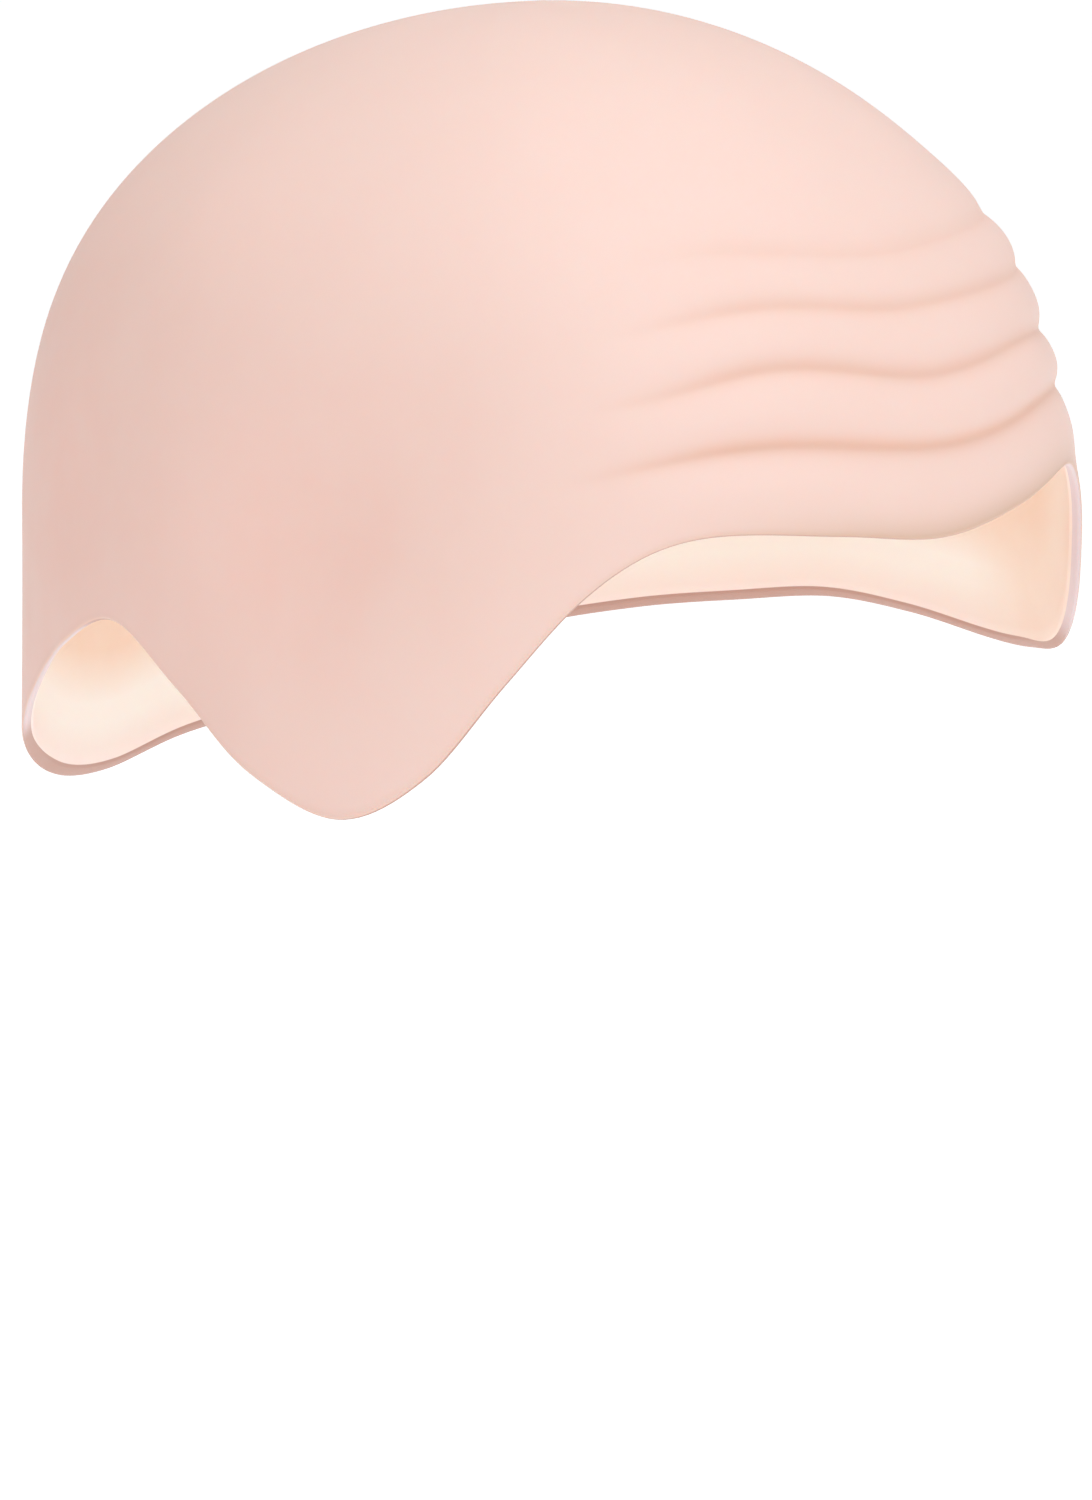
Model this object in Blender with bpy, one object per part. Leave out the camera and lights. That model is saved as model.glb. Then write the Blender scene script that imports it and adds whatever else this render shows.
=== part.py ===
"""Bald cap: one moulded latex shell with forehead folds and two ear cut-outs.

The wearer faces -Y, their right side is -X and +Z is up. The origin is the
inside top of the crown, where the cap sits on a head. Angles run round the
cap from the forehead (0) over the right ear (90) to the nape (180), and
negative angles run over the left ear. Depths run down from the crown.
"""
import math

import bmesh
import bpy
from mathutils import Vector

# Driving sizes, in metres
FRONT_REACH = 0.0924        # crown axis to the forehead
REAR_REACH = 0.1089         # crown axis to the back of the head
HALF_WIDTH = 0.0781         # crown axis to the side of the head
CAP_DEPTH = 0.1403          # crown to the lowest point of the nape edge
WALL = 0.0020               # latex thickness
EDGE_ROUND = 0.0007         # how far the outer side of the rim is rounded
EDGE_BEVEL = 0.0017         # how far the inner side of the rim is thinned out
FOLD_CUT = 0.00155          # depth of the deepest forehead fold
FOLD_WIDTH = 0.0031         # half width of a fold's groove
DENT_LIFT = 0.0040          # height of the strongest soft dent or bulge

# Forms of the wall in three directions. Heights are shares of CAP_DEPTH.
# shoulder: where the dome turns into an upright wall
# fullness: how square the dome's profile is
# cheek: swelling of the dome above the shoulder, a share of the reach
# flare: how far the upright wall leans out, a share of the shoulder height
WALL_FORMS = {
    "front": {"shoulder": 0.665, "fullness": 2.14, "cheek": 0.084, "flare": -0.114},
    "side": {"shoulder": 0.689, "fullness": 2.12, "cheek": 0.111, "flare": 0.097},
    "rear": {"shoulder": 0.526, "fullness": 2.16, "cheek": 0.044, "flare": 0.105},
}

# Swelling of the plan outline at the four corners, a share of the reach
CORNER_SWELL = {"front": 0.010, "rear": 0.009}
FLARE_START = 0.6           # share of the shoulder height where the flare sets in
FLARE_EASE = 0.2            # how gently the flare sets in

# Depth of the lower edge, as shares of CAP_DEPTH, on the right and left side
RIM_ROWS = [
    {"angle": 0, "right": 0.573, "left": 0.573},      # middle of the forehead
    {"angle": 12, "right": 0.553, "left": 0.560},
    {"angle": 24, "right": 0.538, "left": 0.541},     # over the eyebrow
    {"angle": 31, "right": 0.551, "left": 0.553},
    {"angle": 38, "right": 0.598, "left": 0.603},
    {"angle": 46, "right": 0.685, "left": 0.730},
    {"angle": 55, "right": 0.786, "left": 0.808},
    {"angle": 65, "right": 0.835, "left": 0.832},     # tip of the sideburn tab
    {"angle": 76, "right": 0.799, "left": 0.836},
    {"angle": 90, "right": 0.716, "left": 0.821},
    {"angle": 104, "right": 0.656, "left": 0.813},    # top of the ear cut-out
    {"angle": 118, "right": 0.701, "left": 0.828},
    {"angle": 132, "right": 0.790, "left": 0.846},
    {"angle": 146, "right": 0.887, "left": 0.877},
    {"angle": 160, "right": 0.974, "left": 0.934},
    {"angle": 170, "right": 1.000, "left": 0.965},    # lowest part of the nape
    {"angle": 180, "right": 0.982, "left": 0.982},
]

# Forehead folds. Levels and arches are shares of CAP_DEPTH, crests and
# reaches are degrees either side of FOLD_MIDDLE, cuts are shares of FOLD_CUT.
FOLD_MIDDLE = -4.0
FOLDS = [
    {"level": 0.271, "arch_right": 0.019, "arch_left": 0.003, "crest": 23.5,
     "reach_right": 37.5, "reach_left": 62, "cut": 0.62},
    {"level": 0.330, "arch_right": 0.019, "arch_left": 0.001, "crest": 20.5,
     "reach_right": 40.5, "reach_left": 62, "cut": 0.82},
    {"level": 0.401, "arch_right": 0.028, "arch_left": 0.010, "crest": 20.2,
     "reach_right": 43, "reach_left": 62, "cut": 1.00},
    {"level": 0.476, "arch_right": 0.026, "arch_left": 0.019, "crest": 24,
     "reach_right": 45.7, "reach_left": 60, "cut": 0.98},
]
ROLL_DROP = 2.27            # distance of the roll below its groove, in groove widths
ROLL_WIDTH = 1.54           # half width of the roll, in groove widths
ROLL_LIFT = 0.59            # height of the roll, as a share of the groove's depth
FADE_SPAN = 21.6            # degrees over which a fold fades out at its end
LINING_FOLLOW = 0.6         # share of the folds' relief that the inner skin follows

# Soft dents (below 0) and bulges. The depth and tall columns are shares of
# CAP_DEPTH, wide is in degrees, right and left are shares of DENT_LIFT.
DENTS = [
    {"name": "temple hollow", "angle": 70, "depth": 0.542, "wide": 14.5, "tall": 0.136,
     "right": -1.00, "left": -0.70},
    {"name": "brow side hollow", "angle": 55, "depth": 0.445, "wide": 13.5, "tall": 0.146,
     "right": -0.50, "left": 0.00},
    {"name": "upper side swell", "angle": 100, "depth": 0.235, "wide": 25, "tall": 0.110,
     "right": 0.70, "left": 0.70},
    {"name": "ear hollow", "angle": 114, "depth": 0.515, "wide": 12, "tall": 0.100,
     "right": -0.30, "left": -0.30},
    {"name": "tab swell", "angle": 77, "depth": 0.760, "wide": 8, "tall": 0.070,
     "right": 0.25, "left": 0.25},
    {"name": "forehead swell", "angle": 46, "depth": 0.285, "wide": 24, "tall": 0.073,
     "right": 0.15, "left": 0.36},
    {"name": "brow hollow", "angle": 48, "depth": 0.505, "wide": 22, "tall": 0.065,
     "right": 0.00, "left": -0.34},
]

# Steps round the rim between the outer and the inner skin: how far back from
# the edge, a share of EDGE_BEVEL, and how far in, a share of WALL
RIM_STEPS = [
    {"back": 0.00, "sink": 0.35},
    {"back": 0.35, "sink": 0.80},
]

# Mesh fineness
COLUMNS = 90
SKIN_ROWS = (10, 5, 5, 6, 9)    # from the crown down to each fold, and then to the rim
LINING_ROWS = (7, 3, 3, 3, 6)   # the same, on the inner skin
ROW_CROWDING = 1.6              # above 1, rows stand closer near the crown
PROBE_ANGLE = 0.01              # radians, step for slopes round the cap
PROBE_DEPTH = 0.0002            # metres, step for slopes down the wall

LATEX_COLOUR = (0.870, 0.640, 0.550, 1.0)
LATEX_ROUGHNESS = 0.50


def clear_scene():
    for thing in list(bpy.data.objects):
        bpy.data.objects.remove(thing, do_unlink=True)


def smooth_step(share):
    share = min(max(share, 0.0), 1.0)
    return share * share * (3.0 - 2.0 * share)


def wrap_degrees(angle):
    """The same direction, between -180 and 180 degrees."""
    return (math.degrees(angle) + 180.0) % 360.0 - 180.0


def round_blend(angle, front, side, rear):
    """A value that turns smoothly from front to side to rear round the cap."""
    forward = math.cos(angle)
    along = front * (1 + forward) / 2 + rear * (1 - forward) / 2
    return side * math.sin(angle) ** 2 + along * forward ** 2


def wall_form(angle, column):
    values = (WALL_FORMS[where][column] for where in ("front", "side", "rear"))
    return round_blend(angle, *values)


def plan_reach(angle):
    """Distance from the crown axis to the wall, seen from above."""
    forward, sideways = math.cos(angle), math.sin(angle)
    ahead = (1 + forward) / 2
    long_reach = FRONT_REACH * ahead + REAR_REACH * (1 - ahead)
    reach = 1 / math.hypot(forward / long_reach, sideways / HALF_WIDTH)
    swell = CORNER_SWELL["front"] * ahead + CORNER_SWELL["rear"] * (1 - ahead)
    return reach * (1 + swell * math.sin(2 * angle) ** 2)


def base_point(angle, depth):
    """A point of the plain dome, without folds and dents."""
    shoulder = wall_form(angle, "shoulder") * CAP_DEPTH
    down = min(max(depth / shoulder, 0.0), 1.0)
    round_share = math.sqrt(1 - (1 - down) ** wall_form(angle, "fullness"))
    round_share *= 1 + wall_form(angle, "cheek") * down * (1 - down) ** 2
    below = max(depth / shoulder - FLARE_START, 0.0)
    lean = below ** 3 / (FLARE_EASE + below ** 2)
    reach = plan_reach(angle) * round_share
    reach += wall_form(angle, "flare") * shoulder * lean
    return Vector((-reach * math.sin(angle), -reach * math.cos(angle), WALL - depth))


def outward(angle, depth):
    """Unit vector that points straight out of the dome."""
    depth = max(depth, 2 * PROBE_DEPTH)
    around = base_point(angle + PROBE_ANGLE, depth) - base_point(angle - PROBE_ANGLE, depth)
    down = base_point(angle, depth + PROBE_DEPTH) - base_point(angle, depth - PROBE_DEPTH)
    return around.cross(down).normalized()


def rim_depth(angle):
    """Depth of the lower edge, a smooth curve through the rows of RIM_ROWS."""
    degrees = wrap_degrees(angle)
    side = "right" if degrees >= 0 else "left"
    other = "left" if degrees >= 0 else "right"
    turned = abs(degrees)
    stops = [(-row["angle"], row[other]) for row in RIM_ROWS[2:0:-1]]
    stops += [(row["angle"], row[side]) for row in RIM_ROWS]
    stops += [(360 - row["angle"], row[other]) for row in RIM_ROWS[-2:-4:-1]]
    place = max(i for i in range(1, len(stops) - 2) if stops[i][0] <= turned)
    (a0, d0), (a1, d1), (a2, d2), (a3, d3) = stops[place - 1:place + 3]
    share = (turned - a1) / (a2 - a1)
    slope_in = (d2 - d0) / (a2 - a0) * (a2 - a1)
    slope_out = (d3 - d1) / (a3 - a1) * (a2 - a1)
    squared, cubed = share ** 2, share ** 3
    depth = (2 * cubed - 3 * squared + 1) * d1 + (cubed - 2 * squared + share) * slope_in
    depth += (3 * squared - 2 * cubed) * d2 + (cubed - squared) * slope_out
    return depth * CAP_DEPTH


def rim_slant(angle):
    """How much longer a step down is than a step straight across the rim."""
    rise = rim_depth(angle + PROBE_ANGLE) - rim_depth(angle - PROBE_ANGLE)
    run = 2 * PROBE_ANGLE * plan_reach(angle)
    return math.hypot(1.0, rise / run)


def side_of(degrees):
    """How far a direction is turned, and the side that it lies on."""
    return abs(degrees), "right" if degrees >= 0 else "left"


def fold_depth(fold, angle):
    """Depth of a fold's groove, which arches up over each eyebrow."""
    turned, side = side_of(wrap_degrees(angle) - FOLD_MIDDLE)
    wave = math.sin(math.pi / 2 * min(turned / fold["crest"], 2.0)) ** 2
    return (fold["level"] - fold["arch_" + side] * wave) * CAP_DEPTH


def fold_relief(angle, depth):
    """Grooves and rolls of the forehead folds, out from the plain dome."""
    turned, side = side_of(wrap_degrees(angle) - FOLD_MIDDLE)
    lift = 0.0
    for fold in FOLDS:
        fade = smooth_step((fold["reach_" + side] - turned) / FADE_SPAN)
        across = (depth - fold_depth(fold, angle)) / FOLD_WIDTH
        groove = 1 / (1 + across ** 2) ** 1.5
        roll = ROLL_LIFT * math.exp(-((across - ROLL_DROP) / ROLL_WIDTH) ** 2)
        lift += fold["cut"] * FOLD_CUT * fade * (roll - groove)
    return lift


def dent_relief(angle, depth):
    """Soft hollows and swells of the forehead, temples, sides and tabs."""
    turned, side = side_of(wrap_degrees(angle))
    lift = 0.0
    for dent in DENTS:
        sideways = (turned - dent["angle"]) / dent["wide"]
        upward = (depth / CAP_DEPTH - dent["depth"]) / dent["tall"]
        lift += dent[side] * math.exp(-sideways ** 2 - upward ** 2)
    return lift * DENT_LIFT


def skin_point(angle, depth, sink=0.0):
    """A point of the outer skin, or sink metres below it."""
    lift = fold_relief(angle, depth) + dent_relief(angle, depth) - sink
    return base_point(angle, depth) + outward(angle, depth) * lift


def lining_point(angle, depth):
    """A point of the inner skin, which follows the dents and, more softly, the folds."""
    lift = LINING_FOLLOW * fold_relief(angle, depth) + dent_relief(angle, depth) - WALL
    return base_point(angle, depth) + outward(angle, depth) * lift


def row_depths(angle, counts, edge):
    """Depths of the rows in one column, with a row along every fold.

    The last row stands edge metres back from the rim.
    """
    stops = [0.0] + [fold_depth(fold, angle) for fold in FOLDS]
    stops.append(rim_depth(angle) - edge * rim_slant(angle))
    depths = []
    for place, (count, top, bottom) in enumerate(zip(counts, stops, stops[1:])):
        crowding = ROW_CROWDING if place == 0 else 1.0
        depths += [top + (bottom - top) * (row / count) ** crowding for row in range(1, count + 1)]
    return depths


def shell_rings():
    """Every ring of the cap, from the outer crown over the rim to the inner crown."""
    angles = [2 * math.pi * column / COLUMNS for column in range(COLUMNS)]
    skin = [[skin_point(a, depth) for depth in row_depths(a, SKIN_ROWS, EDGE_ROUND)] for a in angles]
    rings = [list(ring) for ring in zip(*skin)]
    for step in RIM_STEPS:
        back, sink = step["back"] * EDGE_BEVEL, step["sink"] * WALL
        rings.append([skin_point(a, rim_depth(a) - back * rim_slant(a), sink) for a in angles])
    lining = [[lining_point(a, depth) for depth in row_depths(a, LINING_ROWS, EDGE_BEVEL)]
              for a in angles]
    return rings + [list(ring) for ring in reversed(list(zip(*lining)))]


def bridge(mesh, upper, lower):
    """Quads between two rings, split along one diagonal."""
    count = len(upper)
    for i in range(count):
        j = (i + 1) % count
        mesh.faces.new((upper[i], lower[i], lower[j]))
        mesh.faces.new((upper[i], lower[j], upper[j]))


def latex_material():
    material = bpy.data.materials.new("latex")
    material.use_nodes = True
    shader = material.node_tree.nodes["Principled BSDF"]
    shader.inputs["Base Color"].default_value = LATEX_COLOUR
    shader.inputs["Roughness"].default_value = LATEX_ROUGHNESS
    shader.inputs["Metallic"].default_value = 0.0
    return material


def build_cap():
    shell = bmesh.new()
    rings = [[shell.verts.new(point) for point in ring] for ring in shell_rings()]
    crown_out = shell.verts.new((0.0, 0.0, WALL))
    crown_in = shell.verts.new((0.0, 0.0, 0.0))
    for upper, lower in zip(rings, rings[1:]):
        bridge(shell, upper, lower)
    for i in range(COLUMNS):
        j = (i + 1) % COLUMNS
        shell.faces.new((crown_out, rings[0][i], rings[0][j]))
        shell.faces.new((crown_in, rings[-1][j], rings[-1][i]))
    bmesh.ops.recalc_face_normals(shell, faces=shell.faces)
    data = bpy.data.meshes.new("cap")
    shell.to_mesh(data)
    shell.free()
    data.shade_smooth()
    data.materials.append(latex_material())
    cap = bpy.data.objects.new("cap", data)
    bpy.context.scene.collection.objects.link(cap)
    return cap


clear_scene()
build_cap()
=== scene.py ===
"""A moulded latex bald cap, held up over a pale studio floor.

The wearer faces -Y and their right side is -X. The origin is the inside top
of the crown. Angles run round the cap from the forehead (0) over the right
ear (90) to the nape (180), and negative angles run over the left ear. Depths
run down from the crown. All lengths are in metres.
"""
import math

import bpy
import numpy as np
from mathutils import Matrix, Vector


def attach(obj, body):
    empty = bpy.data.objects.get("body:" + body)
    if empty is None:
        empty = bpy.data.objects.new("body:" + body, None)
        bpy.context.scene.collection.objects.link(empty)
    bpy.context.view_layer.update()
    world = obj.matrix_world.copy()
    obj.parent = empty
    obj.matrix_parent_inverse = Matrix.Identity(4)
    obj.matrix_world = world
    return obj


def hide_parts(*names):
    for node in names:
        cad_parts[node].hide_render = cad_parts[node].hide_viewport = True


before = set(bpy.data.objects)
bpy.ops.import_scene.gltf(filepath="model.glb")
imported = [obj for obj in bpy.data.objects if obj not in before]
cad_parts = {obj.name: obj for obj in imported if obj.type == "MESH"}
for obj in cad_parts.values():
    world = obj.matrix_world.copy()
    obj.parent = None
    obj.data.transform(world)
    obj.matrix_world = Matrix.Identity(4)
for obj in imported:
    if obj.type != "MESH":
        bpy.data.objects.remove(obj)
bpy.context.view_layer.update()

# Sizes of the cap, the same as those of its solid
FRONT_REACH = 0.0924
REAR_REACH = 0.1089
HALF_WIDTH = 0.0781
CAP_DEPTH = 0.1403
WALL = 0.0020
EDGE_ROUND = 0.0007
EDGE_BEVEL = 0.0017
FOLD_CUT = 0.00155
FOLD_WIDTH = 0.0031
DENT_LIFT = 0.0040

# Forms of the wall. Shoulders are shares of CAP_DEPTH, cheeks of the reach
# and flares of the shoulder's height.
WALL_FORMS = {
    "front": {"shoulder": 0.665, "fullness": 2.14, "cheek": 0.084, "flare": -0.114},
    "side": {"shoulder": 0.689, "fullness": 2.12, "cheek": 0.111, "flare": 0.097},
    "rear": {"shoulder": 0.526, "fullness": 2.16, "cheek": 0.044, "flare": 0.105},
}
CORNER_SWELL = {"front": 0.010, "rear": 0.009}
FLARE_START = 0.6
FLARE_EASE = 0.2

# Depth of the lower edge, as shares of CAP_DEPTH: angle, right side, left side
RIM_ROWS = [
    (0, 0.573, 0.573),      # middle of the forehead
    (12, 0.553, 0.560),
    (24, 0.538, 0.541),     # over the eyebrow
    (31, 0.551, 0.553),
    (38, 0.598, 0.603),
    (46, 0.685, 0.730),
    (55, 0.786, 0.808),
    (65, 0.835, 0.832),     # tip of the sideburn tab
    (76, 0.799, 0.836),
    (90, 0.716, 0.821),
    (104, 0.656, 0.813),    # top of the ear cut-out
    (118, 0.701, 0.828),
    (132, 0.790, 0.846),
    (146, 0.887, 0.877),
    (160, 0.974, 0.934),
    (170, 1.000, 0.965),    # lowest part of the nape
    (180, 0.982, 0.982),
]

# Forehead folds: levels and arches in shares of CAP_DEPTH, crests and reaches
# in degrees either side of FOLD_MIDDLE, cuts in shares of FOLD_CUT, and the
# painted shade in each crease in shares of CREASE_SHADE_TINT
FOLD_MIDDLE = -4.0
FOLDS = [
    {"level": 0.271, "arch_right": 0.019, "arch_left": 0.003, "crest": 23.5,
     "reach_right": 37.5, "reach_left": 62, "cut": 0.62, "crease_shade": 0.32},
    {"level": 0.330, "arch_right": 0.019, "arch_left": 0.001, "crest": 20.5,
     "reach_right": 40.5, "reach_left": 62, "cut": 0.82, "crease_shade": 0.60},
    {"level": 0.401, "arch_right": 0.028, "arch_left": 0.010, "crest": 20.2,
     "reach_right": 43, "reach_left": 62, "cut": 1.00, "crease_shade": 0.78},
    {"level": 0.476, "arch_right": 0.026, "arch_left": 0.019, "crest": 24,
     "reach_right": 45.7, "reach_left": 60, "cut": 0.98, "crease_shade": 1.05},
]
ROLL_DROP = 2.27
ROLL_WIDTH = 1.54
ROLL_LIFT = 0.59
FADE_SPAN = 21.6
LINING_FOLLOW = 0.6

# Cross section of a fold: how steeply its sides fall, and its narrow crease
GROOVE_POWER = 1.5
CREASE_SHARE = 0.31         # part of a groove's depth that is a narrow crease
CREASE_WIDTH = 0.40         # its half width, a share of FOLD_WIDTH
# painted shade of a crease: how far above its groove it lies, and its half width
SHADE_RISE = 0.08            # tint of a crease above its groove, and its half width,
SHADE_WIDTH = 0.42           # both shares of FOLD_WIDTH

# Soft dents (below 0) and swells: depths and heights in shares of CAP_DEPTH,
# widths in degrees, right and left in shares of DENT_LIFT
DENTS = [
    {"name": "temple hollow", "angle": 70, "depth": 0.542, "wide": 14.5, "tall": 0.136,
     "right": -1.00, "left": -0.70},
    {"name": "brow side hollow", "angle": 55, "depth": 0.445, "wide": 13.5, "tall": 0.146,
     "right": -0.50, "left": 0.00},
    {"name": "upper side swell", "angle": 100, "depth": 0.235, "wide": 25, "tall": 0.110,
     "right": 0.70, "left": 0.70},
    {"name": "ear hollow", "angle": 114, "depth": 0.515, "wide": 12, "tall": 0.100,
     "right": -0.30, "left": -0.30},
    {"name": "tab swell", "angle": 77, "depth": 0.760, "wide": 8, "tall": 0.070,
     "right": 0.25, "left": 0.25},
    {"name": "forehead swell", "angle": 46, "depth": 0.285, "wide": 24, "tall": 0.073,
     "right": 0.15, "left": 0.36},
    {"name": "brow hollow", "angle": 48, "depth": 0.505, "wide": 22, "tall": 0.065,
     "right": 0.00, "left": -0.34},
]

# Fineness of the mesh
COLUMNS = 384
SKIN_ROWS = (52, 20, 22, 24, 40)    # from the crown down to each fold, and then to the rim
LINING_ROWS = (26, 9, 9, 9, 22)     # the same, on the inner skin
ROUND_STEPS = 6
FACE_STEPS = 5
FACE_BELLY = 0.08           # bulge of the thinned face, a share of its width
ROW_CROWDING = 1.5          # how much closer rows lie near the crown
PROBE_ANGLE = 0.004
PROBE_DEPTH = 0.0001

# Painted shade along the outer edge, in degrees and metres
BROW_MIDDLE = -8.0
BROW_SPAN = 46.0
BROW_SHADE = 0.0034         # height of the darker band over the forehead edge
BROW_POWER = 1.5            # how sharply that band ends
EDGE_SHADE_LINE = 0.45            # strength of the fine line along the rest of the edge

# Painted shade of the sides, from an angle and down to a depth, and of the hollows
SHADE_FLUSH_START, SHADE_FLUSH_SPAN = 30.0, 110.0
SHADE_FLUSH_DROP = 0.075
HOLLOW_SHADE = 0.62

# Stretches of the rim painted pale, a painted light where the rim stands
# upright, where its band is also narrower: middle and half a span in degrees
LIT_RIM_STRETCHES = [(-38, 18), (127, 19)]
LIT_RIM_FADE = 7.0
NARROW_MORE = 12.0          # how far the narrow stretches run past the pale ones
NARROWING = 1.1             # how much narrower the band is there

# Painted shade: a warmer, darker stretch of the lining beside the forehead's left end
CORNER_MIDDLE, CORNER_SPAN, CORNER_FADE = -54.0, 26.0, 18.0

# Colours, linear
SKIN = (0.890, 0.650, 0.582, 1.0)
# painted shade of the sides and hollows
SKIN_SHADE_FLUSH = (0.892, 0.586, 0.510, 1.0)
SKIN_PALE = (0.885, 0.665, 0.598, 1.0)
SKIN_BLOTCH = (0.850, 0.615, 0.535, 1.0)
# painted shade in the creases
CREASE_SHADE_COLOUR = (0.760, 0.410, 0.270, 1.0)
# painted shade along the outer edge
EDGE_SHADE_COLOUR = (0.640, 0.425, 0.310, 1.0)
# lining: the cream is a painted glow, the peach painted shade deep in the cap
LINING_GLOW_AND_PALE_CREAM = (0.990, 0.915, 0.845, 1.0)
LINING_PINK = (0.980, 0.790, 0.730, 1.0)
LINING_SHADE_AND_BLOTCH_PEACH = (0.905, 0.675, 0.530, 1.0)
# tan of the rim's band, partly its own colour and partly painted shade; the pale one a painted light
RIM_TAN_AND_SHADE = (0.530, 0.310, 0.250, 1.0)
RIM_LIT_PALE = (0.740, 0.580, 0.575, 1.0)
FLOOR_WHITE = (0.600, 0.600, 0.600, 1.0)

# Strengths of the painted shade tints
CREASE_SHADE_TINT = 0.52
EDGE_SHADE_TINT = 0.85
CORNER_SHADE_TINT = 0.62

CENTIMETRES = 100.0         # in a metre

# Where the inside begins, as shares of the wall
INSIDE_START, INSIDE_SPAN = 0.10, 0.20

# Where the rim's band begins, as a share of the wall, and where it ends and the
# lining turns to a painted cream glow and then to peach painted shade, in
# centimetres from the rim
BAND_START = (0.08, 0.16)
BAND_END = (0.215, 0.225)
CREAM_GLOW_SPAN = (0.20, 0.95)
PEACH_SHADE_SPAN = (1.35, 2.35)

# Surface of the latex. Noises: features in a metre, detail, roughness. Spans:
# the noise values that become 0 and 1.
CLOUD_NOISE, CLOUD_SPAN = (16.0, 2.0, 0.5), (0.35, 0.68)
BLOTCH_NOISE, BLOTCH_SPAN = (75.0, 3.0, 0.55), (0.38, 0.70)
GRAIN_NOISE, RIPPLE_NOISE = (1500.0, 3.0, 0.6), (140.0, 2.0, 0.5)
PATCH_NOISE, PATCH_SPAN = (60.0, 2.0, 0.5), (0.3, 0.7)
SKIN_CLOUDS = {"Blotch Share": 0.3, "Pale Share": 0.3}
LINING_CLOUDS = {"Blotch Share": 0.12, "Pale Share": 0.15}
GRAIN_SHARE = 0.35          # height of the grain beside that of the ripple
ROUGHNESS, ROUGHNESS_SPREAD = 0.5, 0.06
BUMP_STRENGTH, BUMP_HEIGHT = 0.10, 0.0003
SUBSURFACE = {"Weight": 0.30, "Radius": (1.0, 0.45, 0.30), "Scale": 0.0006}
LATEX_IOR, LATEX_SPECULAR = 1.45, 0.35

# Studio: area lights placed as the camera sees them, the world and the floor
SOFTBOX_SIZE = 1.2
SOFTBOXES = [
    {"name": "key_softbox", "side": 0.45, "height": 0.95, "near": 1.20,
     "power": 9.7, "colour": (0.86, 1.0, 1.05)},
    {"name": "top_softbox", "side": 0.10, "height": 1.60, "near": 0.10,
     "power": 10.0, "colour": (0.95, 1.0, 1.02)},
]
WORLD_TINT, WORLD_STRENGTH = (1.0, 0.90, 0.86, 1.0), 0.53
FLOOR_ROUGHNESS, FLOOR_SPECULAR = 0.9, 0.1
FLOOR_GLOW, FLOOR_GLOW_STRENGTH = (0.92, 0.965, 0.99, 1.0), 0.76

# Camera: direction from the cap, measured from the forehead and the horizon,
# and where the aim point of the cap lies in the picture
IMAGE_WIDTH, IMAGE_HEIGHT = 1092, 1500
CAMERA_TURN = 39.5
CAMERA_RISE = 8.0
CAMERA_ROLL = 3.5
CAMERA_LENS = 100.0
SENSOR = 36.0
CAMERA_DISTANCE = 0.697
CLIP_START = 0.01
AIM_DROP = 0.0654           # aim point below the origin
AIM_PIXEL = (553, 411)

FLOOR_DROP = 0.42           # floor below the origin
FLOOR_SIZE = 80.0


def smooth_step(share):
    share = np.clip(share, 0.0, 1.0)
    return share * share * (3.0 - 2.0 * share)


def wrap_degrees(angle):
    return (np.degrees(angle) + 180.0) % 360.0 - 180.0


def wall_form(angle, column):
    """A value of WALL_FORMS that turns smoothly from front to side to rear."""
    forward = np.cos(angle)
    front, side, rear = (WALL_FORMS[where][column] for where in ("front", "side", "rear"))
    along = front * (1 + forward) / 2 + rear * (1 - forward) / 2
    return side * np.sin(angle) ** 2 + along * forward ** 2


def plan_reach(angle):
    """Distance from the crown axis to the wall, seen from above."""
    forward, sideways = np.cos(angle), np.sin(angle)
    ahead = (1 + forward) / 2
    long_reach = FRONT_REACH * ahead + REAR_REACH * (1 - ahead)
    reach = 1 / np.hypot(forward / long_reach, sideways / HALF_WIDTH)
    swell = CORNER_SWELL["front"] * ahead + CORNER_SWELL["rear"] * (1 - ahead)
    return reach * (1 + swell * np.sin(2 * angle) ** 2)


def base_points(angle, depth):
    """Points of the plain dome, without folds and dents."""
    shoulder = wall_form(angle, "shoulder") * CAP_DEPTH
    down = np.clip(depth / shoulder, 0.0, 1.0)
    round_share = np.sqrt(1 - (1 - down) ** wall_form(angle, "fullness"))
    round_share = round_share * (1 + wall_form(angle, "cheek") * down * (1 - down) ** 2)
    below = np.maximum(depth / shoulder - FLARE_START, 0.0)
    lean = below ** 3 / (FLARE_EASE + below ** 2)
    reach = plan_reach(angle) * round_share + wall_form(angle, "flare") * shoulder * lean
    return np.stack([-reach * np.sin(angle), -reach * np.cos(angle), WALL - depth], axis=-1)


def outward(angle, depth):
    """Unit vectors that point straight out of the dome."""
    depth = np.maximum(depth, 2 * PROBE_DEPTH)
    around = base_points(angle + PROBE_ANGLE, depth) - base_points(angle - PROBE_ANGLE, depth)
    down = base_points(angle, depth + PROBE_DEPTH) - base_points(angle, depth - PROBE_DEPTH)
    normal = np.cross(around, down)
    return normal / np.linalg.norm(normal, axis=-1, keepdims=True)


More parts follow.
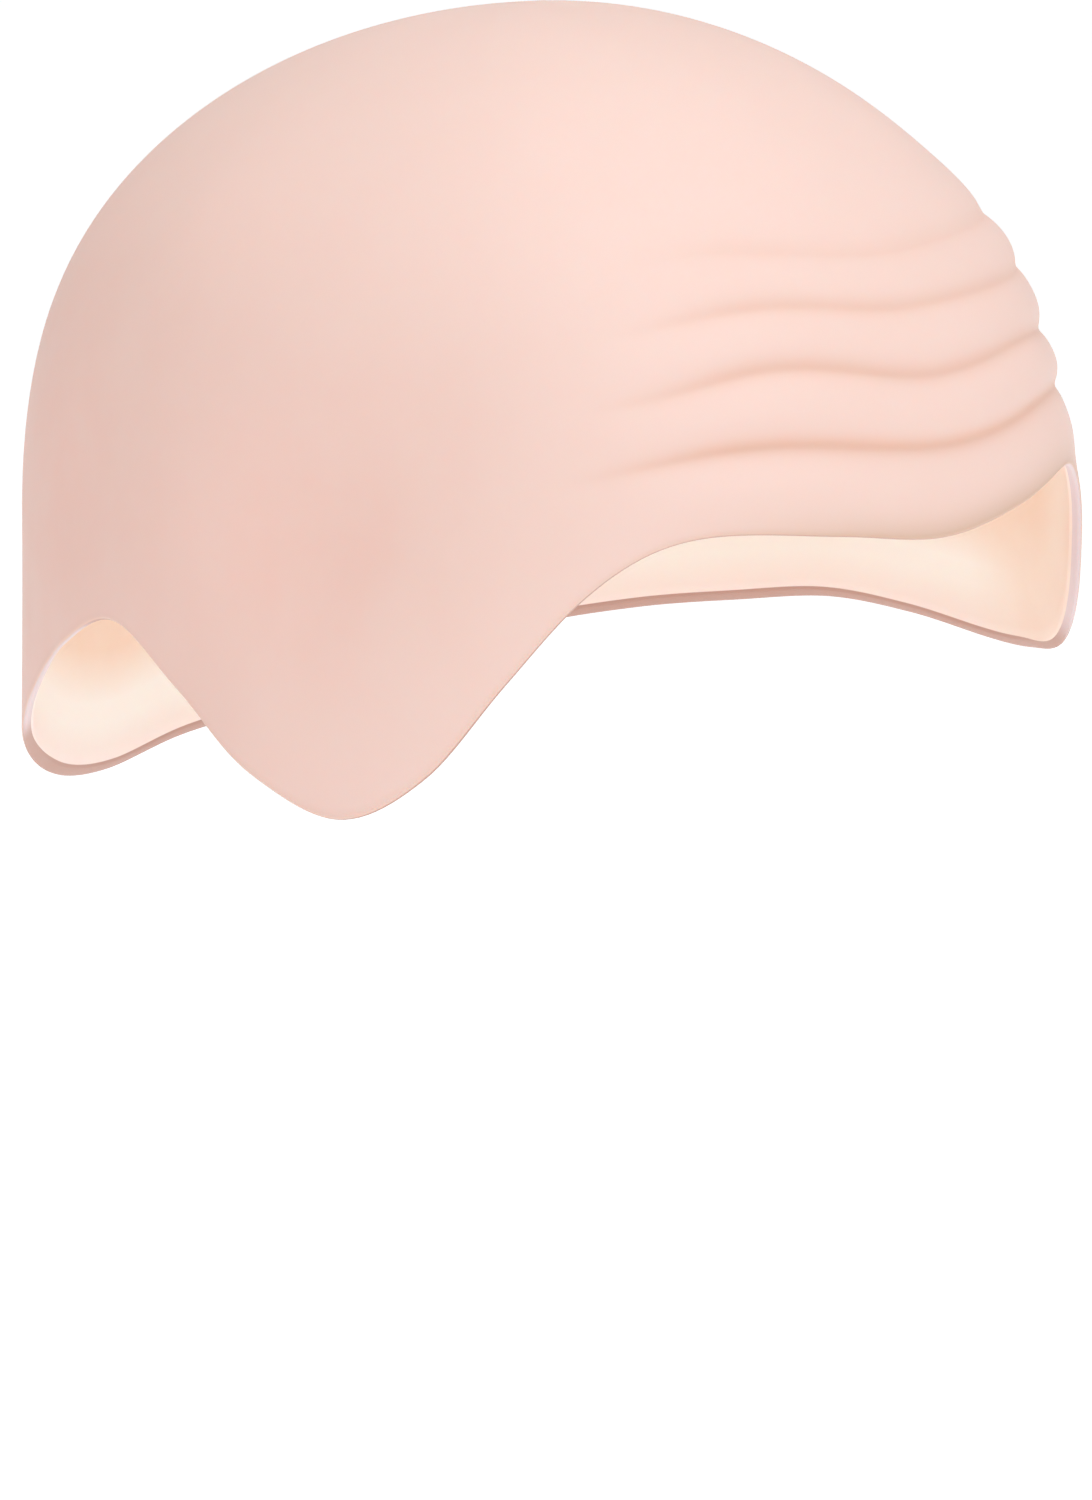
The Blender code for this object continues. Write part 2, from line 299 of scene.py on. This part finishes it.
def rim_depth(angle):
    """Depth of the lower edge, a smooth curve through the rows of RIM_ROWS."""
    right = [(row[0], row[1]) for row in RIM_ROWS]
    left = [(360 - row[0], row[2]) for row in RIM_ROWS[-2:0:-1]]
    ring = right + left
    stops = [(a - 360, d) for a, d in ring[-2:]] + ring + [(a + 360, d) for a, d in ring[:3]]
    stop_angle, stop_depth = np.array(stops).T
    turned = np.degrees(angle) % 360.0
    place = np.searchsorted(stop_angle, turned, side="right") - 1
    a0, a1, a2, a3 = (stop_angle[place + i] for i in (-1, 0, 1, 2))
    d0, d1, d2, d3 = (stop_depth[place + i] for i in (-1, 0, 1, 2))
    share = (turned - a1) / (a2 - a1)
    slope_in = (d2 - d0) / (a2 - a0) * (a2 - a1)
    slope_out = (d3 - d1) / (a3 - a1) * (a2 - a1)
    squared, cubed = share ** 2, share ** 3
    depth = (2 * cubed - 3 * squared + 1) * d1 + (cubed - 2 * squared + share) * slope_in
    depth += (3 * squared - 2 * cubed) * d2 + (cubed - squared) * slope_out
    return depth * CAP_DEPTH


def rim_slant(angle):
    """How much longer a step down is than a step straight across the rim."""
    rise = rim_depth(angle + PROBE_ANGLE) - rim_depth(angle - PROBE_ANGLE)
    return np.hypot(1.0, rise / (2 * PROBE_ANGLE * plan_reach(angle)))


def by_side(fold, name, turned):
    return np.where(turned >= 0, fold[name + "_right"], fold[name + "_left"])


def fold_depth(fold, angle):
    """Depth of a fold's groove, which arches up over each eyebrow."""
    turned = wrap_degrees(angle) - FOLD_MIDDLE
    wave = np.sin(np.pi / 2 * np.minimum(np.abs(turned) / fold["crest"], 2.0)) ** 2
    return (fold["level"] - by_side(fold, "arch", turned) * wave) * CAP_DEPTH


def fold_relief(angle, depth):
    """Relief of the folds out from the dome, and a mask of painted shade in their creases."""
    turned = wrap_degrees(angle) - FOLD_MIDDLE
    lift = np.zeros(np.broadcast(angle, depth).shape)
    mask = np.zeros_like(lift)
    for fold in FOLDS:
        fade = smooth_step((by_side(fold, "reach", turned) - np.abs(turned)) / FADE_SPAN)
        across = (depth - fold_depth(fold, angle)) / FOLD_WIDTH
        crease = 1 / (1 + (across / CREASE_WIDTH) ** 2) ** GROOVE_POWER
        # painted shade along the crease, darker and warmer than the skin
        crease_shade = 1 / (1 + ((across + SHADE_RISE) / SHADE_WIDTH) ** 2) ** GROOVE_POWER
        groove = (1 - CREASE_SHARE) / (1 + across ** 2) ** GROOVE_POWER + CREASE_SHARE * crease
        roll = ROLL_LIFT * np.exp(-((across - ROLL_DROP) / ROLL_WIDTH) ** 2)
        lift += fold["cut"] * FOLD_CUT * fade * (roll - groove)
        mask += fold["crease_shade"] * fade * crease_shade
    return lift, mask


def dent_relief(angle, depth):
    """Soft hollows and swells of the forehead, temples, sides and tabs."""
    degrees = wrap_degrees(angle)
    turned = np.abs(degrees)
    lift = np.zeros(np.broadcast(angle, depth).shape)
    for dent in DENTS:
        sideways = (turned - dent["angle"]) / dent["wide"]
        upward = (depth / CAP_DEPTH - dent["depth"]) / dent["tall"]
        share = np.where(degrees >= 0, dent["right"], dent["left"])
        lift += share * np.exp(-sideways ** 2 - upward ** 2)
    return lift * DENT_LIFT


def row_depths(angle, counts, edge):
    """Depths of the rows, with a row along every fold and the last one
    edge metres back from the rim."""
    stops = [np.zeros_like(angle)] + [fold_depth(fold, angle) for fold in FOLDS]
    stops.append(rim_depth(angle) - edge * rim_slant(angle))
    rows = []
    for place, (count, top, bottom) in enumerate(zip(counts, stops, stops[1:])):
        crowding = ROW_CROWDING if place == 0 else 1.0
        rows += [top + (bottom - top) * (row / count) ** crowding for row in range(1, count + 1)]
    return np.array(rows)


def rim_profile():
    """Steps round the rim's edge: how far back from the edge, and how far in.

    A small round leads from the skin to the edge. A nearly flat face then
    thins the wall out from the lining, with a crisp line where it ends.
    """
    steps = []
    for step in range(1, ROUND_STEPS + 1):
        turn = math.pi / 2 * step / ROUND_STEPS
        steps.append((EDGE_ROUND * (1 - math.sin(turn)), EDGE_ROUND * (1 - math.cos(turn))))
    for step in range(1, FACE_STEPS + 1):
        along = step / (FACE_STEPS + 1)
        belly = FACE_BELLY * math.sin(math.pi * along)
        sink = EDGE_ROUND + (WALL - EDGE_ROUND) * (along + belly)
        steps.append((EDGE_BEVEL * along, sink))
    return steps


def near_angle(angle, middle, half, fade):
    """1 within half a span of degrees round a middle angle, fading out to 0."""
    return smooth_step((half - np.abs(wrap_degrees(angle - math.radians(middle)))) / fade)


def cap_rings():
    """Rings of points from the outer crown over the rim to the inner crown,
    with masks of the inside, the place in the wall, the distance from the
    rim, its pale stretches of painted light, and of painted shade along the
    edge, in the creases, at the sides and hollows and beside the forehead."""
    angle = 2 * np.pi * np.arange(COLUMNS)[None, :] / COLUMNS
    rim, slant = rim_depth(angle), rim_slant(angle)
    outer = row_depths(angle[0], SKIN_ROWS, EDGE_ROUND)
    inner = row_depths(angle[0], LINING_ROWS, EDGE_BEVEL)[::-1]
    steps = rim_profile()
    depth = np.concatenate([outer] + [rim - back * slant for back, _ in steps] + [inner])
    sink = np.concatenate([np.zeros(len(outer)), [step[1] for step in steps], np.full(len(inner), WALL)])
    sink = np.repeat(sink[:, None], COLUMNS, axis=1)
    inside = smooth_step((sink / WALL - INSIDE_START) / INSIDE_SPAN)
    relief, crease = fold_relief(angle, depth)
    folded = 1 - (1 - LINING_FOLLOW) * sink / WALL
    dents = dent_relief(angle, depth)
    lift = dents + relief * folded - sink
    points = base_points(angle, depth) + outward(angle, depth) * lift[..., None]
    from_rim = np.maximum(rim - depth, 0.0) / slant
    # painted shade: a darker band over the forehead edge and a fine dark line along the rest of the edge
    brow = near_angle(angle, BROW_MIDDLE, BROW_SPAN, BROW_SPAN)
    shade = brow * np.exp(-(from_rim / BROW_SHADE) ** BROW_POWER)
    shade += EDGE_SHADE_LINE * np.exp(-(from_rim / EDGE_ROUND) ** 2)
    # painted light: pale stretches of the rim where light falls on it
    pale = sum(near_angle(angle, middle, half, LIT_RIM_FADE) for middle, half in LIT_RIM_STRETCHES)
    narrow = sum(near_angle(angle, middle, half + NARROW_MORE, LIT_RIM_FADE + NARROW_MORE)
                 for middle, half in LIT_RIM_STRETCHES)
    turned = np.abs(wrap_degrees(angle))
    # painted shade: darker, redder sides away from the forehead, and darker hollows
    shade_flush = smooth_step((turned - SHADE_FLUSH_START) / SHADE_FLUSH_SPAN) * smooth_step(depth / SHADE_FLUSH_DROP)
    shade_flush += HOLLOW_SHADE * np.clip(-dents / DENT_LIFT, 0, 1)
    masks = {
        "inside": inside,
        "wall_share": sink / WALL,
        "rim_distance": from_rim * CENTIMETRES,
        "band_distance": from_rim * CENTIMETRES * (1 + NARROWING * narrow),
        "lit_pale_rim": pale,
        "edge_shade": np.clip(shade, 0, 1) * (1 - inside),
        "crease": crease * (1 - inside),
        "shade_flush": np.clip(shade_flush, 0, 1),
        "corner_shade": near_angle(angle, CORNER_MIDDLE, CORNER_SPAN, CORNER_FADE),
    }
    return points, {name: mask + np.zeros(sink.shape) for name, mask in masks.items()}


def build_cap():
    """The cap as one smooth closed shell of quads."""
    points, masks = cap_rings()
    rows = len(points)
    ends = np.array([[0.0, 0.0, WALL], [0.0, 0.0, 0.0]])
    verts = np.concatenate([points.reshape(-1, 3), ends])
    crown_out, crown_in = rows * COLUMNS, rows * COLUMNS + 1
    near = np.arange(COLUMNS)
    far = (near + 1) % COLUMNS
    faces = []
    for row in range(rows - 1):
        here, below = row * COLUMNS, (row + 1) * COLUMNS
        quads = np.stack([here + near, here + far, below + far, below + near], axis=1)
        faces += quads.tolist()
    last = (rows - 1) * COLUMNS
    faces += [(crown_out, j, i) for i, j in zip(near.tolist(), far.tolist())]
    faces += [(crown_in, last + i, last + j) for i, j in zip(near.tolist(), far.tolist())]
    data = bpy.data.meshes.new("latex_cap")
    data.from_pydata(verts.tolist(), [], faces)
    for name, values in masks.items():
        layer = data.attributes.new(name, "FLOAT", "POINT")
        at_ends = [values[0].mean(), values[-1].mean()]
        layer.data.foreach_set("value", np.concatenate([values.ravel(), at_ends]))
    data.update()
    data.shade_smooth()
    cap = bpy.data.objects.new("latex_cap", data)
    bpy.context.scene.collection.objects.link(cap)
    return cap


def new_group(name, inputs, outputs):
    """A shader node group with named sockets, and its input and output nodes."""
    group = bpy.data.node_groups.new(name, "ShaderNodeTree")
    for socket, kind, value in inputs:
        made = group.interface.new_socket(socket, in_out="INPUT", socket_type=kind)
        if value is not None:
            made.default_value = value
    for socket, kind in outputs:
        group.interface.new_socket(socket, in_out="OUTPUT", socket_type=kind)
    return group, group.nodes.new("NodeGroupInput"), group.nodes.new("NodeGroupOutput")


def add_noise(tree, vector, scale, detail, roughness):
    noise = tree.nodes.new("ShaderNodeTexNoise")
    noise.inputs["Scale"].default_value = scale
    noise.inputs["Detail"].default_value = detail
    noise.inputs["Roughness"].default_value = roughness
    tree.links.new(vector, noise.inputs["Vector"])
    return noise.outputs["Fac"]


def add_range(tree, value, low, high, to_low=0.0, to_high=1.0):
    spread = tree.nodes.new("ShaderNodeMapRange")
    for name, number in (("From Min", low), ("From Max", high), ("To Min", to_low), ("To Max", to_high)):
        spread.inputs[name].default_value = number
    tree.links.new(value, spread.inputs["Value"])
    return spread.outputs["Result"]


def add_math(tree, operation, first, second):
    node = tree.nodes.new("ShaderNodeMath")
    node.operation = operation
    for socket, value in zip(node.inputs, (first, second)):
        if isinstance(value, (int, float)):
            socket.default_value = value
        else:
            tree.links.new(value, socket)
    return node.outputs["Value"]


def add_mix(tree, share, first, second):
    """A colour between two others. Each is a socket or a colour."""
    node = tree.nodes.new("ShaderNodeMix")
    node.data_type = "RGBA"
    for name, value in (("Factor", share), ("A", first), ("B", second)):
        socket = next(s for s in node.inputs if s.name == name and s.enabled)
        if isinstance(value, (tuple, float)):
            socket.default_value = value
        else:
            tree.links.new(value, socket)
    return next(s for s in node.outputs if s.enabled)


def mottle_group():
    """Soft clouding of moulded latex, between its own colour, a blotch and a pale one."""
    group, inputs, outputs = new_group(
        "Latex Clouding",
        [("Place", "NodeSocketVector", None),
         ("Colour", "NodeSocketColor", SKIN),
         ("Blotch", "NodeSocketColor", SKIN_BLOTCH),
         ("Pale", "NodeSocketColor", SKIN_PALE),
         ("Blotch Share", "NodeSocketFloat", SKIN_CLOUDS["Blotch Share"]),
         ("Pale Share", "NodeSocketFloat", SKIN_CLOUDS["Pale Share"])],
        [("Colour", "NodeSocketColor")])
    place = inputs.outputs["Place"]
    broad = add_range(group, add_noise(group, place, *CLOUD_NOISE), *CLOUD_SPAN)
    blotch = add_range(group, add_noise(group, place, *BLOTCH_NOISE), *BLOTCH_SPAN)
    deep = add_math(group, "MULTIPLY", broad, inputs.outputs["Blotch Share"])
    pale = add_math(group, "MULTIPLY", blotch, inputs.outputs["Pale Share"])
    colour = add_mix(group, deep, inputs.outputs["Colour"], inputs.outputs["Blotch"])
    colour = add_mix(group, pale, colour, inputs.outputs["Pale"])
    group.links.new(colour, outputs.inputs["Colour"])
    return group


def pore_group():
    """Very fine matte grain of the mould, as a height and a roughness."""
    group, inputs, outputs = new_group(
        "Mould Grain",
        [("Place", "NodeSocketVector", None),
         ("Roughness", "NodeSocketFloat", ROUGHNESS),
         ("Roughness Spread", "NodeSocketFloat", ROUGHNESS_SPREAD)],
        [("Height", "NodeSocketFloat"), ("Roughness", "NodeSocketFloat")])
    place = inputs.outputs["Place"]
    grain = add_noise(group, place, *GRAIN_NOISE)
    ripple = add_noise(group, place, *RIPPLE_NOISE)
    height = add_math(group, "ADD", add_math(group, "MULTIPLY", grain, GRAIN_SHARE), ripple)
    patches = add_range(group, add_noise(group, place, *PATCH_NOISE), *PATCH_SPAN, -1.0, 1.0)
    swing = add_math(group, "MULTIPLY", patches, inputs.outputs["Roughness Spread"])
    rough = add_math(group, "ADD", inputs.outputs["Roughness"], swing)
    group.links.new(height, outputs.inputs["Height"])
    group.links.new(rough, outputs.inputs["Roughness"])
    return group


def mask_value(tree, name):
    node = tree.nodes.new("ShaderNodeAttribute")
    node.attribute_type = "GEOMETRY"
    node.attribute_name = name
    return node.outputs["Fac"]


def latex_material(clouding, grain):
    """Skin-coloured latex with painted shade, a painted cream glow and peach shade
    inside, and tan along the thinned rim, partly painted shade.
    """
    material = bpy.data.materials.new("skin_latex")
    material.use_nodes = True
    tree = material.node_tree
    shader = tree.nodes["Principled BSDF"]
    place = tree.nodes.new("ShaderNodeTexCoord").outputs["Object"]

    # Outside: skin with painted shade, darker and redder at the sides and in the
    # hollows, deeper in the creases and along the edge
    skin = add_mix(tree, mask_value(tree, "shade_flush"), SKIN, SKIN_SHADE_FLUSH)
    outside = tree.nodes.new("ShaderNodeGroup")
    outside.node_tree = clouding
    tree.links.new(skin, outside.inputs["Colour"])
    tree.links.new(place, outside.inputs["Place"])
    # painted shade: creases darker and warmer
    painted_crease_shade = add_math(tree, "MULTIPLY", mask_value(tree, "crease"), CREASE_SHADE_TINT)
    skin = add_mix(tree, painted_crease_shade, outside.outputs["Colour"], CREASE_SHADE_COLOUR)
    # painted shade along the edge
    painted_edge_shade = add_math(tree, "MULTIPLY", mask_value(tree, "edge_shade"), EDGE_SHADE_TINT)
    skin = add_mix(tree, painted_edge_shade, skin, EDGE_SHADE_COLOUR)

    # Inside: pink along the rim, then a painted cream glow, then peach painted shade deep in the cap
    distance = mask_value(tree, "rim_distance")
    glow_share = add_range(tree, distance, *CREAM_GLOW_SPAN)
    deep_shade_share = add_range(tree, distance, *PEACH_SHADE_SPAN)
    lining = add_mix(tree, glow_share, LINING_PINK, LINING_GLOW_AND_PALE_CREAM)
    # painted shade: peach beside the forehead's left end
    painted_corner_shade = add_math(tree, "MULTIPLY", mask_value(tree, "corner_shade"), CORNER_SHADE_TINT)
    lining = add_mix(tree, deep_shade_share, lining, LINING_SHADE_AND_BLOTCH_PEACH)
    lining = add_mix(tree, painted_corner_shade, lining, LINING_SHADE_AND_BLOTCH_PEACH)
    lined = tree.nodes.new("ShaderNodeGroup")
    lined.node_tree = clouding
    tree.links.new(lining, lined.inputs["Colour"])
    tree.links.new(place, lined.inputs["Place"])
    # the lining's clouds reuse the glow and shade colours as random pale and blotch colours
    lined.inputs["Blotch"].default_value = LINING_SHADE_AND_BLOTCH_PEACH
    lined.inputs["Pale"].default_value = LINING_GLOW_AND_PALE_CREAM
    for name, share in LINING_CLOUDS.items():
        lined.inputs[name].default_value = share

    colour = add_mix(tree, mask_value(tree, "inside"), skin, lined.outputs["Colour"])

    # The rim's band runs over the whole edge and a little way up the lining. Its
    # tan is partly the thinned edge's own colour and partly painted shade, and it
    # turns pale, a painted light, on the lit stretches
    band = add_math(tree, "MULTIPLY", add_range(tree, mask_value(tree, "wall_share"), *BAND_START),
                    add_range(tree, mask_value(tree, "band_distance"), *BAND_END, 1.0, 0.0))
    rim = add_mix(tree, mask_value(tree, "lit_pale_rim"), RIM_TAN_AND_SHADE, RIM_LIT_PALE)
    colour = add_mix(tree, band, colour, rim)
    tree.links.new(colour, shader.inputs["Base Color"])

    surface = tree.nodes.new("ShaderNodeGroup")
    surface.node_tree = grain
    tree.links.new(place, surface.inputs["Place"])
    tree.links.new(surface.outputs["Roughness"], shader.inputs["Roughness"])
    bump = tree.nodes.new("ShaderNodeBump")
    bump.inputs["Strength"].default_value = BUMP_STRENGTH
    bump.inputs["Distance"].default_value = BUMP_HEIGHT
    tree.links.new(surface.outputs["Height"], bump.inputs["Height"])
    tree.links.new(bump.outputs["Normal"], shader.inputs["Normal"])

    shader.inputs["Metallic"].default_value = 0.0
    shader.inputs["IOR"].default_value = LATEX_IOR
    shader.inputs["Specular IOR Level"].default_value = LATEX_SPECULAR
    for name, value in SUBSURFACE.items():
        shader.inputs["Subsurface " + name].default_value = value
    return material


def floor_material():
    material = bpy.data.materials.new("studio_floor")
    material.use_nodes = True
    shader = material.node_tree.nodes["Principled BSDF"]
    shader.inputs["Base Color"].default_value = FLOOR_WHITE
    shader.inputs["Roughness"].default_value = FLOOR_ROUGHNESS
    shader.inputs["Specular IOR Level"].default_value = FLOOR_SPECULAR
    shader.inputs["Emission Color"].default_value = FLOOR_GLOW
    shader.inputs["Emission Strength"].default_value = FLOOR_GLOW_STRENGTH
    return material


def build_floor():
    half = FLOOR_SIZE / 2
    data = bpy.data.meshes.new("floor")
    corners = [(-half, -half, 0), (half, -half, 0), (half, half, 0), (-half, half, 0)]
    data.from_pydata(corners, [], [(0, 1, 2, 3)])
    data.materials.append(floor_material())
    floor = bpy.data.objects.new("floor", data)
    floor.location = (0, 0, -FLOOR_DROP)
    bpy.context.scene.collection.objects.link(floor)
    return floor


def view_axes():
    """Directions towards the camera, to its right and up, seen level."""
    turn, rise = math.radians(CAMERA_TURN), math.radians(CAMERA_RISE)
    back = Vector((-math.sin(turn) * math.cos(rise), -math.cos(turn) * math.cos(rise), math.sin(rise)))
    right = Vector((math.cos(turn), -math.sin(turn), 0.0))
    return back, right, back.cross(right)


def build_camera():
    """Looks at the cap from the front right, with the cap high in the picture."""
    back, right, up = view_axes()
    aim = Vector((0, 0, -AIM_DROP))
    focal = CAMERA_LENS / SENSOR * IMAGE_HEIGHT
    across, above = AIM_PIXEL[0] - IMAGE_WIDTH / 2, IMAGE_HEIGHT / 2 - AIM_PIXEL[1]
    yaw = math.atan2(across, focal)
    pitch = math.atan2(above, math.hypot(focal, across))
    level = Matrix((right, up, back)).transposed().to_4x4()
    data = bpy.data.cameras.new("camera")
    data.sensor_width = SENSOR
    data.lens = CAMERA_LENS
    data.clip_start = CLIP_START
    camera = bpy.data.objects.new("camera", data)
    camera.matrix_world = (Matrix.Translation(aim + back * CAMERA_DISTANCE) @ level
                           @ Matrix.Rotation(-math.radians(CAMERA_ROLL), 4, "Z")
                           @ Matrix.Rotation(-pitch, 4, "X")
                           @ Matrix.Rotation(yaw, 4, "Y"))
    bpy.context.scene.collection.objects.link(camera)
    bpy.context.scene.camera = camera


def add_softbox(name, side, height, near, power, colour):
    """An area light placed beside, above and before the cap as the camera sees it."""
    back, right, up = view_axes()
    aim = Vector((0, 0, -AIM_DROP))
    data = bpy.data.lights.new(name, "AREA")
    data.shape = "RECTANGLE"
    data.size = data.size_y = SOFTBOX_SIZE
    data.energy = power
    data.color = colour
    light = bpy.data.objects.new(name, data)
    light.location = aim + right * side + Vector((0, 0, height)) + back * near
    light.rotation_euler = (aim - light.location).to_track_quat("-Z", "Y").to_euler()
    bpy.context.scene.collection.objects.link(light)


def build_lights():
    for softbox in SOFTBOXES:
        add_softbox(**softbox)
    world = bpy.data.worlds.new("studio")
    world.use_nodes = True
    background = world.node_tree.nodes["Background"]
    background.inputs["Color"].default_value = WORLD_TINT
    background.inputs["Strength"].default_value = WORLD_STRENGTH
    bpy.context.scene.world = world
    bpy.context.scene.view_settings.view_transform = "Standard"


build_camera()
build_lights()
build_floor()

cap = build_cap()
cap.data.materials.append(latex_material(mottle_group(), pore_group()))
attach(cap, "root")
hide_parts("cap")
